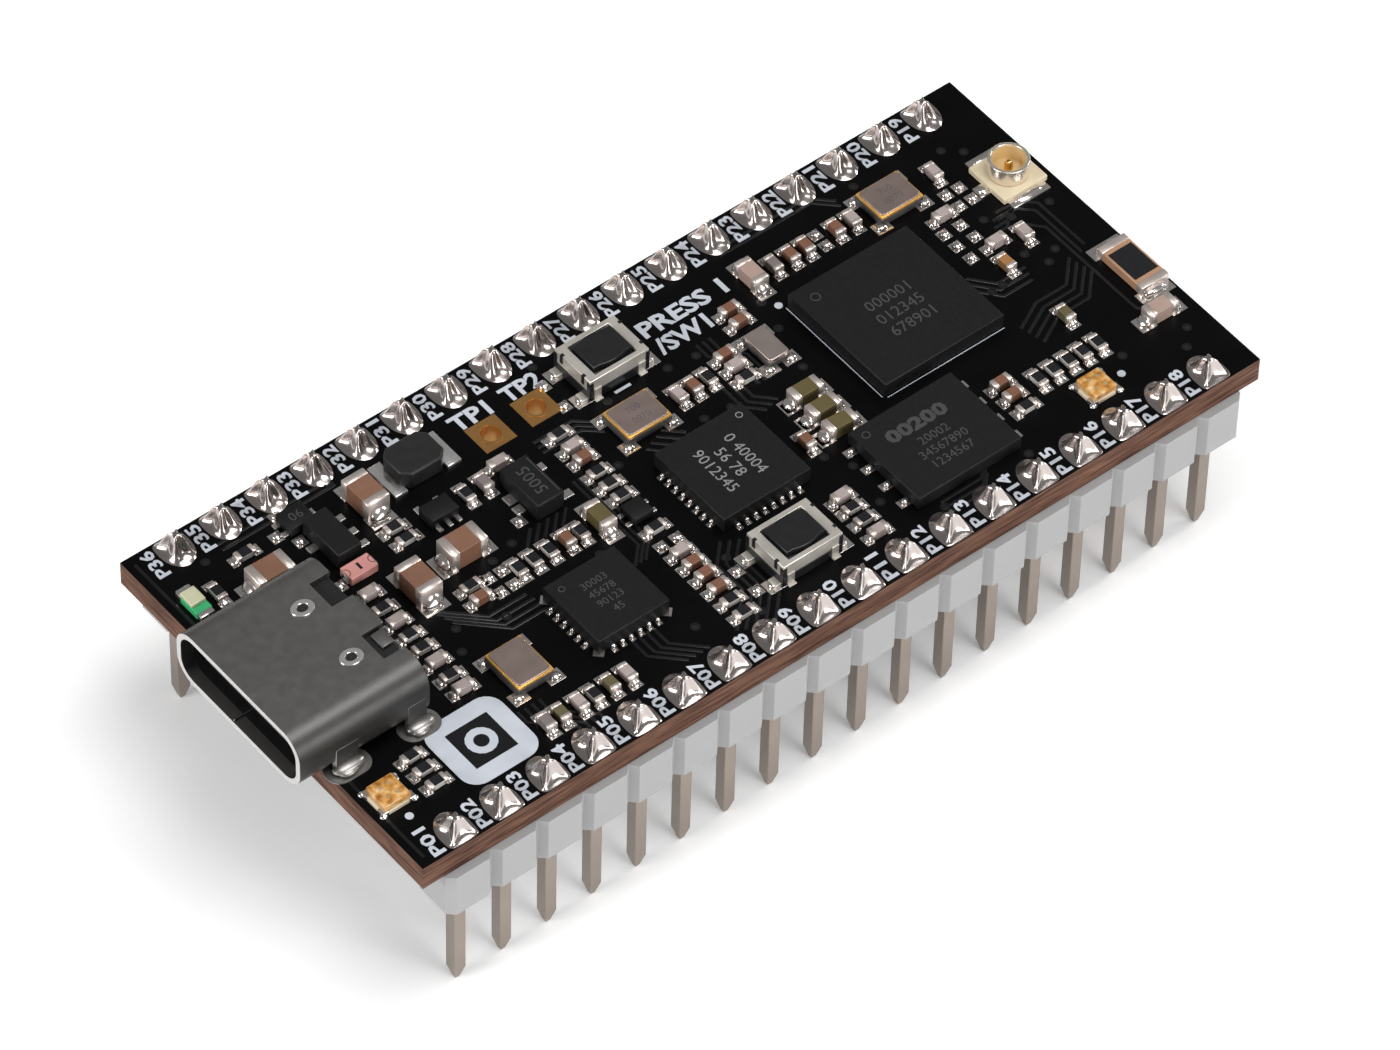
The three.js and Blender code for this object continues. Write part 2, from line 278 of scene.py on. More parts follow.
track_runs = [
    (5, (0.38, -0.2), [(-4.9, -8.9), (-3.2, -7.2), (-3.2, -5.4), (-2.2, -4.4)]),
    (3, (0.4, 0.1), [(3.6, 2.6), (3.6, 1.2), (4.4, 0.4)]),
    (4, (0.42, 0.16), [(-1.4, 1.9), (-0.6, 1.1)]),
    (3, (0.36, 0.0), [(4.3, 5.4), (4.3, 4.5), (5.1, 3.6), (5.1, 1.8)]),
    (4, (0.1, -0.42), [(16.6, -2.9), (18.2, -2.1), (20.0, -2.1), (21.2, -0.9)]),
    (3, (0.12, 0.4), [(16.4, 0.2), (17.3, -0.9), (19.0, -0.9)]),
    (4, (0.14, -0.4), [(-14.9, 0.4), (-13.0, -1.5), (-10.9, -1.5)]),
    (3, (0.3, 0.0), [(-6.1, -3.2), (-5.2, -2.3), (-5.2, 2.4)]),
    (5, (0.5, 0.0), [(-9.2, 0.6), (-8.4, 1.4)]),
    (3, (0.0, -0.36), [(-5.2, 5.3), (-3.0, 5.3), (-2.2, 4.6)]),
    (2, (0.4, 0.3), [(19.9, 3.0), (21.2, 3.0), (21.9, 2.3), (21.9, -1.0)]),
    (3, (0.2, 0.36), [(6.6, -9.4), (9.0, -9.4), (9.8, -8.6)]),
    (2, (0.3, -0.4), [(-20.3, 9.2), (-14.0, 9.2)]),
    (2, (0.0, -0.38), [(8.6, 9.4), (14.0, 9.4), (15.0, 8.4)]),
    (1, (0.0, 0.0), [(-23.55, -10.5), (-23.55, 10.5)]),
    (1, (0.0, 0.0), [(20.9, 2.0), (21.6, 1.2), (21.6, -5.2), (22.4, -6.0)]),
    (3, (0.45, 0.3), [(19.2, 2.3), (20.2, 2.3), (20.9, 3.0), (22.6, 3.0)]),
    (4, (-0.4, 0.0), [(-12.6, -9.4), (-12.6, -8.9), (-14.2, -7.3), (-14.2, -6.6)]),
    (4, (0.4, 0.0), [(-8.9, -6.5), (-8.9, -7.6), (-7.6, -8.9)]),
]
ribbons = bpy.data.curves.new("ribbons", "CURVE")
ribbons.dimensions = "3D"
ribbons.bevel_depth = 0.08
ribbons.bevel_resolution = 1
for count, step, points in track_runs:
    for i in range(count):
        run = ribbons.splines.new("POLY")
        run.points.add(len(points) - 1)
        for knot, (x, y) in zip(run.points, points):
            knot.co = (x + i * step[0], y + i * step[1], 0.0, 1.0)
tracks = bmesh.new()
underside = -0.03
for level, mirrored in ((deck, 1), (underside, -1)):
    pour_shape(tracks, ribbons,
               lambda drawn: Matrix.Translation((0, 0, level)) @ Matrix.Diagonal((1, mirrored, 0.2, 1)))
add_piece("masked_tracks", tracks, track_skin)


def add_ring(bm, x, y, z, inner, outer, height, sides=16, stretch=1.0, square=False):
    """A flat ring: a circle drawn out to a band, then raised. The outline may be oval or square."""
    place = Matrix.Translation((x, y, z))
    circle = bmesh.ops.create_circle(bm, segments=sides, radius=inner, matrix=place)["verts"]
    spread = bmesh.ops.extrude_edge_only(bm, edges=linked(circle, "link_edges"))["geom"]
    rim = [v for v in spread if isinstance(v, bmesh.types.BMVert)]
    for vert in rim:
        spoke = (vert.co - place.translation).xy
        reach = outer / max(abs(spoke.x), abs(spoke.y)) if square else outer / inner
        vert.co.xy = place.translation.xy + spoke * reach
    bmesh.ops.scale(bm, vec=(stretch, 1, 1), verts=circle + rim, space=place.inverted())
    risen = bmesh.ops.extrude_face_region(bm, geom=linked(rim, "link_faces"))["geom"]
    bmesh.ops.translate(bm, vec=(0, 0, height), verts=[v for v in risen if isinstance(v, bmesh.types.BMVert)])


def add_disc(bm, x, y, z, radius, height, sides=16):
    """A short post with flat ends."""
    place = Matrix.Translation((x, y, z + height / 2))
    bmesh.ops.create_cone(bm, cap_ends=True, segments=sides, radius1=radius, radius2=radius, depth=height,
                          matrix=place)


via_spots = [
    (20.84, 7.85), (21.64, 7.15), (20.74, 2.67), (22.74, 2.32), (21.04, -0.1), (17.04, -0.35), (17.69, -0.35),
    (20.29, -0.55), (22.64, -7.5), (21.84, -8.4), (19.19, -7.0), (16.2, 8.6), (19.6, 3.3), (19.7, 0.5),
    (8.3, 5.6), (7.9, 3.9), (7.3, 1.4), (3.2, 1.5), (1.8, 1.7), (4.6, -3.4), (3.9, 4.9), (-1.0, 5.2),
    (2.4, 5.1), (-2.6, -5.3), (-3.3, -8.7), (-6.2, -7.6), (-12.4, -2.0), (-14.6, -1.2), (-15.2, -2.4),
    (-9.6, 1.2), (-18.4, 4.9), (-21.0, 8.7), (-23.1, 4.6), (-6.9, -1.7), (-10.9, 0.9), (-3.0, 1.9),
    (5.3, -4.6), (4.9, -7.0), (12.0, -8.9), (7.0, -9.0), (-13.9, 9.0), (-2.4, 8.9),
]
via_radius, via_rim = 0.13, 0.24
clear_of_headers = 8.5
vias, via_bores = (bmesh.new() for _ in range(2))
for x, y in via_spots:
    add_ring(vias, x, y, pad_seat, via_radius, via_rim, 0.022, sides=12)
    add_disc(via_bores, x, y, deck - 0.01, via_radius, 0.012, sides=12)
    if abs(y) < clear_of_headers:
        add_ring(vias, x, y, underside - 0.017, via_radius, via_rim, 0.022, sides=12)
        add_disc(via_bores, x, y, underside - 0.002, via_radius, 0.012, sides=12)
add_piece("via_rims", vias, track_skin)
bore_skin = skin("via_bore", (0.002, 0.002, 0.002), 0.8, mottle=0.1, grain_mm=0.2, relief_um=1)
add_piece("via_bores", via_bores, bore_skin)

# ---- Gold test pads ----
# Two square pads, each round a plated hole with a raised lip, in bare gold-flashed copper that has dulled a
# little. The plating runs down the hole and ends in a ring under the board.
gold_skin = skin("flash_gold", (0.74, 0.39, 0.13), 0.27, metallic=0.9, mottle=0.22, grain_mm=0.5, relief_um=8)
test_pads = bmesh.new()
test_pad_y = 6.9
for x in (-6.36, -3.76):
    add_ring(test_pads, x, test_pad_y, pad_seat, 0.5, 0.86, 0.04, sides=24, square=True)
    add_ring(test_pads, x, test_pad_y, deck + 0.03, 0.5, 0.62, 0.03, sides=24)
    add_ring(test_pads, x, test_pad_y, deck - 1.38, 0.46, 0.517, 1.41, sides=24)
    add_ring(test_pads, x, test_pad_y, 0.0, 0.5, 0.8, 0.02, sides=24)
add_piece("gold_test_pads", test_pads, gold_skin)

# ---- Header strips and pins ----
# The insulators are moulded in off-white nylon with a waist between the pins. The pins are drawn square wire,
# plated, with coined tips, and tinned above the board. Both keep their CAD outlines, with every edge broken
# as moulding and drawing leave it.


def broken_edges(node, material, rounding, body="board"):
    """A copy of a CAD node with its facets merged into whole faces and its edges rounded."""
    bm = bmesh.new()
    bm.from_mesh(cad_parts[node].data)
    bmesh.ops.remove_doubles(bm, verts=bm.verts, dist=1e-6)
    bmesh.ops.dissolve_limit(bm, angle_limit=math.radians(1), verts=bm.verts, edges=bm.edges)
    bmesh.ops.scale(bm, vec=(1 / MM, 1 / MM, 1 / MM), verts=bm.verts)
    piece = add_piece(f"{node}_finish", bm, material, body, rounding=rounding)
    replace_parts(piece, node)
    return piece


nylon_skin = skin("header_nylon", (0.34, 0.34, 0.343), 0.42, mottle=0.03, grain_mm=0.12, relief_um=5)
nylon = nylon_skin.node_tree.nodes["Principled BSDF"]
nylon.inputs["Subsurface Weight"].default_value = 0.12
nylon.inputs["Subsurface Radius"].default_value = (0.0006, 0.0006, 0.0006)
for side in ("left", "right"):
    broken_edges(f"header_strip_{side}", nylon_skin, 0.05)


def drawn_skin(name, tint, roughness, lengthwise=(9000, 9000, 400), relief_um=5.0):
    """Plated metal with faint draw lines along one direction."""
    material = skin(name, tint, roughness, metallic=1.0, mottle=0.16, grain_mm=0.6, relief_um=relief_um)
    nodes, links = material.node_tree.nodes, material.node_tree.links
    stretch = add_node(nodes, "Mapping", Scale=lengthwise)
    links.new(nodes["Texture Coordinate"].outputs["Object"], stretch.inputs["Vector"])
    lines = add_node(nodes, "TexNoise", Scale=1.0)
    links.new(stretch.outputs["Vector"], lines.inputs["Vector"])
    links.new(lines.outputs["Fac"], nodes["Bump"].inputs["Height"])
    return material


def tint_where(material, share, tint):
    """Lays a tint over the finish's own colour by a share from 0 to 1."""
    nodes, links = material.node_tree.nodes, material.node_tree.links
    surface = nodes["Principled BSDF"].inputs["Base Color"]
    laid = add_node(nodes, "Mix")
    laid.data_type = "RGBA"
    laid.inputs["B"].default_value = (*tint, 1.0)
    links.new(surface.links[0].from_socket, laid.inputs["A"])
    links.new(share, laid.inputs["Factor"])
    links.new(laid.outputs["Result"], surface)


def pin_finish():
    """Plated wire below the board, tinned above it."""
    material = drawn_skin("plated_pin", (0.31, 0.262, 0.225), 0.40)
    nodes, links = material.node_tree.nodes, material.node_tree.links
    height = add_node(nodes, "SeparateXYZ")
    links.new(nodes["Texture Coordinate"].outputs["Object"], height.inputs["Vector"])
    above_board = add_node(nodes, "Math")
    above_board.operation = "GREATER_THAN"
    above_board.inputs[1].default_value = deck * MM
    links.new(height.outputs["Z"], above_board.inputs[0])
    tint_where(material, above_board.outputs["Value"], (0.62, 0.60, 0.58))
    return material


pin_skin = pin_finish()
pin_names = [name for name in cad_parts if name.startswith("pin_")]
for name in pin_names:
    broken_edges(name, pin_skin, 0.04)

# ---- Pads and solder of the header pins ----
# Each plated pad runs to the board's edge and ends round on the inner side. The solder has wetted all of it
# and climbs the pin in a hollow, slightly lopsided cone with folds that run down to the pad's corners.
cone_steps = [
    # share of the pad's width, rise from the step below
    (0.95, 0.03), (0.80, 0.07), (0.63, 0.13), (0.50, 0.20),
    (0.40, 0.24), (0.31, 0.22), (0.24, 0.14), (0.14, 0.05),
]
fold_depth = {0.80: 0.14, 0.63: 0.12, 0.50: 0.06}
joint_sides = 24
pad_half_width = 0.85


def add_pin_joint(bm, x, y):
    """A skirt, round inside and square towards the board's edge, that narrows in steps to the pin's top."""
    outward = 1 if y > 0 else -1
    reach = board_corner.y - abs(y) - 0.03
    place = Matrix.Translation((x, y, pad_seat))
    rim = bmesh.ops.create_circle(bm, segments=joint_sides, radius=1.0, matrix=place)["verts"]
    loop = linked(rim, "link_edges")
    for vert in rim:
        across, along = vert.co.x - x, (vert.co.y - y) * outward
        if along > 0.01:
            # A power below 1 pushes the outer half of the circle out towards a square.
            across = math.copysign(abs(across) ** 0.4, across)
            along = along ** 0.4 * reach
        else:
            along = along * 1.16
        vert.co.x = x + across * pad_half_width
        vert.co.y = y + along * outward
    share = 1.0
    height = 1.0 + wobble.uniform(-0.10, 0.04)
    lean_x, lean_y = wobble.uniform(-0.03, 0.03), wobble.uniform(-0.03, 0.03)
    folds = [-math.cos(8 * math.pi * i / joint_sides) + wobble.uniform(-0.2, 0.2) for i in range(joint_sides)]
    for narrower, rise in cone_steps:
        grown = bmesh.ops.extrude_edge_only(bm, edges=loop)["geom"]
        rim = [part for part in grown if isinstance(part, bmesh.types.BMVert)]
        loop = [part for part in grown if isinstance(part, bmesh.types.BMEdge)]
        ratio = narrower / share
        share = narrower
        bmesh.ops.scale(bm, vec=(ratio, ratio, 1), verts=rim, space=place.inverted())
        bmesh.ops.translate(bm, vec=(lean_x * 0.3, lean_y * 0.3, rise * height), verts=rim)
        if share in fold_depth:
            for i, vert in enumerate(rim):
                fold = 1.0 + fold_depth[share] * folds[i]
                vert.co.x = x + (vert.co.x - x) * fold
                vert.co.y = y + (vert.co.y - y) * fold
    bmesh.ops.edgeloop_fill(bm, edges=loop)


def soften(piece, levels=1):
    """Lets a coarse mesh flow as wet solder or a moulded curve does."""
    flow = piece.modifiers.new("flow", "SUBSURF")
    flow.levels = levels
    flow.render_levels = levels
    return piece


wobble = random.Random(18)
joints = bmesh.new()
for name in pin_names:
    pin_middle = measure(name)[2]
    add_pin_joint(joints, pin_middle.x, pin_middle.y)
joint_skin = skin("joint_solder", (0.56, 0.50, 0.475), 0.20, metallic=0.95, mottle=0.14, grain_mm=0.8,
                  relief_um=16)
soften(add_piece("pin_solder_joints", joints, joint_skin, sharp_degrees=80))

# ---- Printed legend ----
# White epoxy ink, screened on the mask: a number beside each pin, names for the test pads and one switch,
# small pin-one dots, chip outlines and a plain square badge.
ink_skin = skin("legend_ink", (0.56, 0.59, 0.65), 0.55, mottle=0.08, grain_mm=0.15, relief_um=6)


def add_lettering(bm, words, x, y, z, cap_height, turn=0.0, width=None, weight=0.03, thickness=0.014):
    """Lettering whose middle is at x, y, with its capitals at the height given."""
    face = bpy.data.curves.new("lettering", "FONT")
    face.body = words
    face.offset = weight
    face.resolution_u = 2
    face.extrude = 0.5

    def fit(drawn):
        across = [vert.co.x for vert in drawn.vertices]
        upward = [vert.co.y for vert in drawn.vertices]
        tall = cap_height / (max(upward) - min(upward))
        wide = width / (max(across) - min(across)) if width else tall
        middle = Vector((-(max(across) + min(across)) / 2, -(max(upward) + min(upward)) / 2, 0))
        return (Matrix.Translation((x, y, z + thickness / 2)) @ Matrix.Rotation(math.radians(turn), 4, "Z")
                @ Matrix.Diagonal((wide, tall, thickness, 1)) @ Matrix.Translation(middle))

    pour_shape(bm, face, fit)


half_pitch = 1.27
legend = bmesh.new()
for name in pin_names:
    pin_middle = measure(name)[2]
    order = int(name[-2:])
    number, inward = (order, 0.2) if pin_middle.y < 0 else (len(pin_names) + 1 - order, -0.2)
    add_lettering(legend, f"P{number:02d}", pin_middle.x - half_pitch, pin_middle.y + inward, deck, 0.68,
                  turn=90, width=1.7, weight=0.025)
add_lettering(legend, "TP1", -6.46, 8.3, deck, 0.95, width=2.1)
add_lettering(legend, "TP2", -3.56, 8.3, deck, 0.95, width=2.1)
add_lettering(legend, "PRESS 1", 5.2, 7.55, deck, 1.0, width=4.9)
add_lettering(legend, "/SW1", 4.25, 6.3, deck, 1.0, width=3.0)
ink_seat, ink_thickness = deck - 0.004, 0.018
for x, y in ((-22.66, -8.31), (18.44, -7.8), (8.79, 4.98)):
    add_disc(legend, x, y, ink_seat, 0.2, ink_thickness)
printed_lines = [
    # x, y, length, width
    (0.04, 5.39, 0.9, 0.16),
    (8.97, 1.2, 0.05, 6.9),
    (12.6, -2.40, 6.9, 0.04),
    (9.4, -3.25, 4.6, 0.04),
]
for x, y, length, width in printed_lines:
    add_block(legend, x, y, ink_seat, length, width, ink_thickness)


def round_uprights(bm, corners, radius, segments=6):
    """Rounds the four upright edges of a block."""
    uprights = [edge for edge in linked(corners, "link_edges")
                if abs(edge.verts[0].co.z - edge.verts[1].co.z) > 0.01]
    bmesh.ops.bevel(bm, geom=uprights, offset=radius, offset_type="OFFSET", segments=segments, profile=0.5,
                    affect="EDGES", material=-1)


badge_x, badge_y, badge_top = -17.61, -6.9, deck + 0.012
round_uprights(legend, add_block(legend, badge_x, badge_y, ink_seat, 4.1, 4.03, 0.02), 0.9)
add_piece("printed_legend", legend, ink_skin)
badge_mark = bmesh.new()
add_ring(badge_mark, badge_x, badge_y, badge_top, 0.75, 1.15, 0.01, sides=16, square=True)
add_disc(badge_mark, badge_x, badge_y, badge_top, 0.36, 0.01, sides=24)
add_piece("badge_mark", badge_mark, track_skin)

# ---- USB socket ----
# A folded stainless shell with a rolled mouth, two pressed latch springs in its roof and four legs in solder.
# Inside are a black sheet, painted shade for the dark inside the mouth, and a black tongue with gold contacts
# on both faces. The shell's ends meet in a seam under the mouth, and small tabs fold down at its back.


def shell_finish_with_painted_light():
    """Satin steel, with painted shade where it rolls down to the sides and a painted highlight towards the
    mouth.
    """
    material = drawn_skin("satin_steel_with_painted_light", (0.15, 0.146, 0.14), 0.40, (2500, 9000, 9000), relief_um=6)
    nodes, links = material.node_tree.nodes, material.node_tree.links
    nodes["Principled BSDF"].inputs["Metallic"].default_value = 0.62
    nodes["Noise Texture"].inputs["Scale"].default_value = 1800.0
    facing = add_node(nodes, "NewGeometry")
    split = add_node(nodes, "SeparateXYZ")
    links.new(facing.outputs["Normal"], split.inputs["Vector"])
    # Painted shade darkens the faces that roll down from the roof, and a painted highlight lightens the faces
    # towards the mouth.
    painted_shade_and_highlight_tints = (
        # axis, where the tint starts, where it is full, tint
        ("Z", 0.99, 0.70, (0.046, 0.045, 0.043)),
        ("X", -0.4, -0.95, (0.58, 0.57, 0.56)),
    )
    for axis, starts, full, tint in painted_shade_and_highlight_tints:
        share = add_node(nodes, "MapRange", From_Min=starts, From_Max=full)
        links.new(split.outputs[axis], share.inputs["Value"])
        tint_where(material, share.outputs["Result"], tint)
    return material


shell_skin_with_painted_light = shell_finish_with_painted_light()
broken_edges("usb_shell", shell_skin_with_painted_light, 0.05)
shell_middle = measure("usb_shell")[2]
roof = measure("usb_shell")[1].z
spring_x = -20.78
# The latch springs take a much brighter steel than the shell they are pressed from, which is a painted
# highlight. Each holds a black disc, painted shade in the dimple's hollow.
springs, spring_painted_shade = (bmesh.new() for _ in range(2))
for y in (-1.76, 1.76):
    add_ring(springs, spring_x, y, roof - 0.02, 0.20, 0.50, 0.10, sides=20, stretch=1.25)
    add_ring(spring_painted_shade, spring_x, y, roof - 0.01, 0.02, 0.27, 0.014, sides=20, stretch=1.25)
bright_steel_and_painted_highlight = skin("polished_steel_and_painted_highlight", (0.86, 0.84, 0.82), 0.22, metallic=0.85, mottle=0.06, relief_um=3)
soften(add_piece("usb_latch_springs", springs, bright_steel_and_painted_highlight, sharp_degrees=80))
# Black moulding for the real tongue, and painted shade in the springs' discs.
moulding_and_painted_shade_skin = skin("black_moulding_and_painted_shade", (0.012, 0.012, 0.013), 0.46, mottle=0.15, grain_mm=0.07, relief_um=5)
add_piece("usb_spring_painted_shade", spring_painted_shade, moulding_and_painted_shade_skin)
broken_edges("usb_tongue", moulding_and_painted_shade_skin, 0.06)
# A black sheet lines the shell's inside: painted shade, so that the mouth reads dark. The real shell is bare
# steel inside.
shade_sheet = bmesh.new()
add_block(shade_sheet, shell_middle.x + 0.2, 0, deck + 0.33, 6.3, 8.28, 2.50)
lengthways = [edge for edge in shade_sheet.edges if abs(edge.verts[0].co.x - edge.verts[1].co.x) > 1]
bmesh.ops.bevel(shade_sheet, geom=lengthways, offset=0.87, offset_type="OFFSET", segments=8, profile=0.5,
                affect="EDGES", material=-1)
shade_sheet_ends = [face for face in shade_sheet.faces if abs(face.normal.x) > 0.9]
bmesh.ops.delete(shade_sheet, geom=shade_sheet_ends, context="FACES_ONLY")
bmesh.ops.recalc_face_normals(shade_sheet, faces=shade_sheet.faces)
bmesh.ops.solidify(shade_sheet, geom=shade_sheet.faces[:], thickness=0.025)
shade_sheet_skin = skin("usb_painted_shade_sheet", (0.006, 0.006, 0.0065), 0.6, mottle=0.2, grain_mm=0.1, relief_um=3)
add_piece("usb_painted_shade_sheet", shade_sheet, shade_sheet_skin)
seam = bmesh.new()
add_block(seam, -25.05, 0.42, deck + 0.30, 1.1, 0.10, 0.09, bevel=0.02, segments=1)
add_block(seam, -18.95, -1.62, roof - 0.34, 0.66, 0.95, 0.22, bevel=0.08)
add_block(seam, -18.52, 0.0, roof - 0.42, 0.24, 2.0, 0.38, bevel=0.09)
add_piece("usb_seam_and_tabs", seam, shell_skin_with_painted_light)
contact_count, contact_pitch = 12, 0.5
tongue_middle = deck + 1.58
contacts = bmesh.new()
for i in range(contact_count):
    y = (i - (contact_count - 1) / 2) * contact_pitch
    for z in (tongue_middle + 0.34, tongue_middle - 0.37):
        add_block(contacts, -23.6, y, z, 2.2, 0.24, 0.03, bevel=0.01, segments=1)
bright_gold = skin("contact_gold", (0.85, 0.58, 0.22), 0.22, metallic=1.0, mottle=0.08, relief_um=3)
add_piece("usb_contacts", contacts, bright_gold)


def add_solder_piece(name, bm, material, levels=1):
    """Lumps of solder, drawn as blocks and smoothed until they look molten."""
    soften(add_piece(name, bm, material, sharp_degrees=100), levels)


solder_seat = deck - 0.02
leg_pads, leg_solder = (bmesh.new() for _ in range(2))
for side in (1, -1):
    for x, off_middle, length in ((-23.1, 4.45, 1.7), (-19.25, 4.55, 1.5)):
        y = side * off_middle
        round_uprights(leg_pads, add_block(leg_pads, x, y, pad_seat, length + 0.6, 1.5, 0.035), 0.7)
        add_block(leg_solder, x, y + side * 0.12, solder_seat, length + 0.35, 0.95, 0.55)
        add_block(leg_solder, x - 0.15, y + side * 0.26, solder_seat, length * 0.75, 0.95, 0.40)
        add_block(leg_solder, x, side * 4.35, underside - 0.26, length * 0.95, 0.85, 0.28)
# The legs' pads and solder take a darker tin than the other joints: painted shade for the shadow beside the
# shell.
leg_tin_painted_shade = skin("leg_solder", (0.36, 0.345, 0.33), 0.34, metallic=0.9, mottle=0.12, grain_mm=0.7, relief_um=10)
add_piece("usb_leg_pads", leg_pads, leg_tin_painted_shade)
add_solder_piece("usb_leg_solder", leg_solder, leg_tin_painted_shade, 2)

# ---- Push switches ----
# A black key stands in a satin plated cover, whose legs clip over a black moulded base with four soldered
# feet. The base fills the cover's notched corners. The key is the moving part and rides on its own body.
cover_skin = skin("switch_cover", (0.70, 0.665, 0.60), 0.36, metallic=0.6, mottle=0.16, grain_mm=0.3,
                  relief_um=10)
key_skin = skin("switch_key", (0.013, 0.013, 0.014), 0.30, mottle=0.2, grain_mm=0.1, relief_um=5)
tin_skin = skin("bright_tin", (0.80, 0.755, 0.725), 0.17, metallic=0.93, mottle=0.08, grain_mm=0.8,
                relief_um=14)
quarters = [(-1, -1), (-1, 1), (1, -1), (1, 1)]
foot_pads, foot_solder, switch_bases, cover_legs = (bmesh.new() for _ in range(4))
for side in ("boot", "reset"):
    broken_edges(f"{side}_switch_case", cover_skin, 0.04)
    broken_edges(f"{side}_switch_button", key_skin, 0.07, body=f"{side}_button")
    low, _, middle, _ = measure(f"{side}_switch_case")
    add_block(switch_bases, middle.x, middle.y, low.z + 0.01, 3.46, 2.66, 0.58, bevel=0.03, segments=1)
    for sx, sy in quarters:
        add_block(switch_bases, middle.x + sx * 1.61, middle.y + sy * 1.21, low.z + 0.5, 0.22, 0.22, 0.66)
        add_block(switch_bases, middle.x + sx * 1.65, middle.y + sy * 0.78, low.z + 0.8, 0.16, 0.18, 0.51)
        for off_middle, width, height in ((1.33, 0.06, 0.72), (1.42, 0.22, 0.08)):
            add_block(cover_legs, middle.x + sx * 1.27, middle.y + sy * off_middle, low.z - 0.01, 0.42, width,
                      height, bevel=0.02, segments=1)
        foot_x, foot_y = middle.x + sx * 1.887, middle.y + sy * 0.95
        add_block(foot_pads, foot_x, foot_y, pad_seat, 1.0, 0.8, 0.035, bevel=0.02, segments=1)
        add_block(foot_solder, foot_x + sx * 0.037, foot_y, solder_seat, 0.7, 0.62, 0.26)
add_piece("switch_bases", switch_bases, key_skin)
add_piece("switch_cover_legs", cover_legs, cover_skin)
add_piece("switch_foot_pads", foot_pads, tin_skin)
add_solder_piece("switch_foot_solder", foot_solder, tin_skin, 2)

# ---- Moulded chips ----
# Black epoxy packages with fine mould grain. Each has a shallow pin-one dot and rows of laser-marked figures,
# and the two small controllers show bright solder at every lead.
epoxy_skin = skin("epoxy_mould", (0.0070, 0.0070, 0.0074), 0.50, mottle=0.18, grain_mm=0.05, relief_um=5)
epoxy_skin.node_tree.nodes["Principled BSDF"].inputs["Specular IOR Level"].default_value = 0.28
faint_mark = skin("faint_laser_mark", (0.046, 0.046, 0.048), 0.65, mottle=0.2, grain_mm=0.06, relief_um=3)
clear_mark = skin("clear_laser_mark", (0.24, 0.24, 0.235), 0.6, mottle=0.2, grain_mm=0.06, relief_um=3)
dot_skin = skin("pin_one_dimple", (0.0065, 0.0065, 0.007), 0.30, mottle=0.2, grain_mm=0.1, relief_um=2)
faint_figures, clear_figures, dimples = (bmesh.new() for _ in range(3))


def add_laser_mark(bm, words, x, y, top, cap_height, turn=0.0, width=None, weight=0.0):
    """Figures on a chip's top, as thin as a laser leaves them."""
    add_lettering(bm, words, x, y, top - 0.002, cap_height, turn, width, weight, thickness=0.006)


chip_marks = {
    # figures, turn, rows, height of the figures, dot's place, dot's radius, shift of the rows
    "radio_chip": (faint_figures, 0, ["000001", "012345", "678901"], 0.62, (-2.6, 2.6), 0.20, 0.3),
    "flash_chip": (faint_figures, 0, ["20002", "34567890", "1234567"], 0.48, (-2.45, 1.9), 0.16, 0.62),
    "hub_chip": (faint_figures, 0, ["30003", "45678", "90123", "45"], 0.40, (-1.4, 1.4), 0.12, 0.0),
    "interface_chip": (clear_figures, -90, ["0 40004", "56 78", "9012345"], 0.58, (1.95, 1.95), 0.13, 0.1),
}
for node, (figures, turn, rows, cap_height, dot, dot_radius, shift) in chip_marks.items():
    broken_edges(node, epoxy_skin, 0.04)
    _, high, middle, _ = measure(node)
    for i, row in enumerate(rows):
        down = (i - (len(rows) - 1) / 2) * cap_height * 1.5 + shift
        x = middle.x - (down if turn else 0)
        y = middle.y - (0 if turn else down)
        add_laser_mark(figures, row, x, y, high.z, cap_height, turn)
    dot_x, dot_y = middle.x + dot[0], middle.y + dot[1]
    add_disc(dimples, dot_x, dot_y, high.z - 0.004, dot_radius, 0.008, sides=20)
    add_ring(figures, dot_x, dot_y, high.z - 0.004, dot_radius, dot_radius + 0.05, 0.010, sides=20)
flash_low, flash_high = measure("flash_chip")[:2]
add_laser_mark(faint_figures, "00200", 8.75, -4.85, flash_high.z, 0.8, width=3.4, weight=0.05)
lead_pads, lead_solder = (bmesh.new() for _ in range(2))
lead_pitch = 0.5
for node, leads in (("hub_chip", 6), ("interface_chip", 8)):
    middle, span = measure(node)[2:]
    for side in range(4):
        turn = math.radians(90 * side)
        outward = Vector((round(math.cos(turn)), round(math.sin(turn)), 0))
        along = Vector((-outward.y, outward.x, 0))
        for i in range(leads):
            spot = middle + outward * (span.x / 2 + 0.14) + along * (i - (leads - 1) / 2) * lead_pitch
            add_block(lead_pads, spot.x, spot.y, pad_seat, 0.42, 0.26, 0.03, turn=90 * side)
            add_block(lead_solder, spot.x - outward.x * 0.05, spot.y - outward.y * 0.05, deck, 0.34, 0.27,
                      0.30 + wobble.uniform(-0.06, 0.06), turn=90 * side)
for y in (-3.93, -5.19, -6.44, -7.7):
    for x in (flash_low.x - 0.2, flash_high.x + 0.2):
        add_block(lead_pads, x, y, pad_seat, 0.7, 0.46, 0.03)
        add_block(lead_solder, x, y, deck, 0.48, 0.42, 0.24)
low, high = measure("hub_chip")[:2]
for x in (low.x + 0.1, high.x - 0.1):
    for y in (low.y + 0.1, high.y - 0.1):
        add_block(lead_pads, x, y, pad_seat, 0.5, 0.5, 0.028, turn=45)
add_piece("faint_figures", faint_figures, faint_mark)
add_piece("clear_figures", clear_figures, clear_mark)
add_piece("pin_one_dimples", dimples, dot_skin)
add_piece("lead_pads", lead_pads, tin_skin)
add_solder_piece("lead_solder", lead_solder, tin_skin)

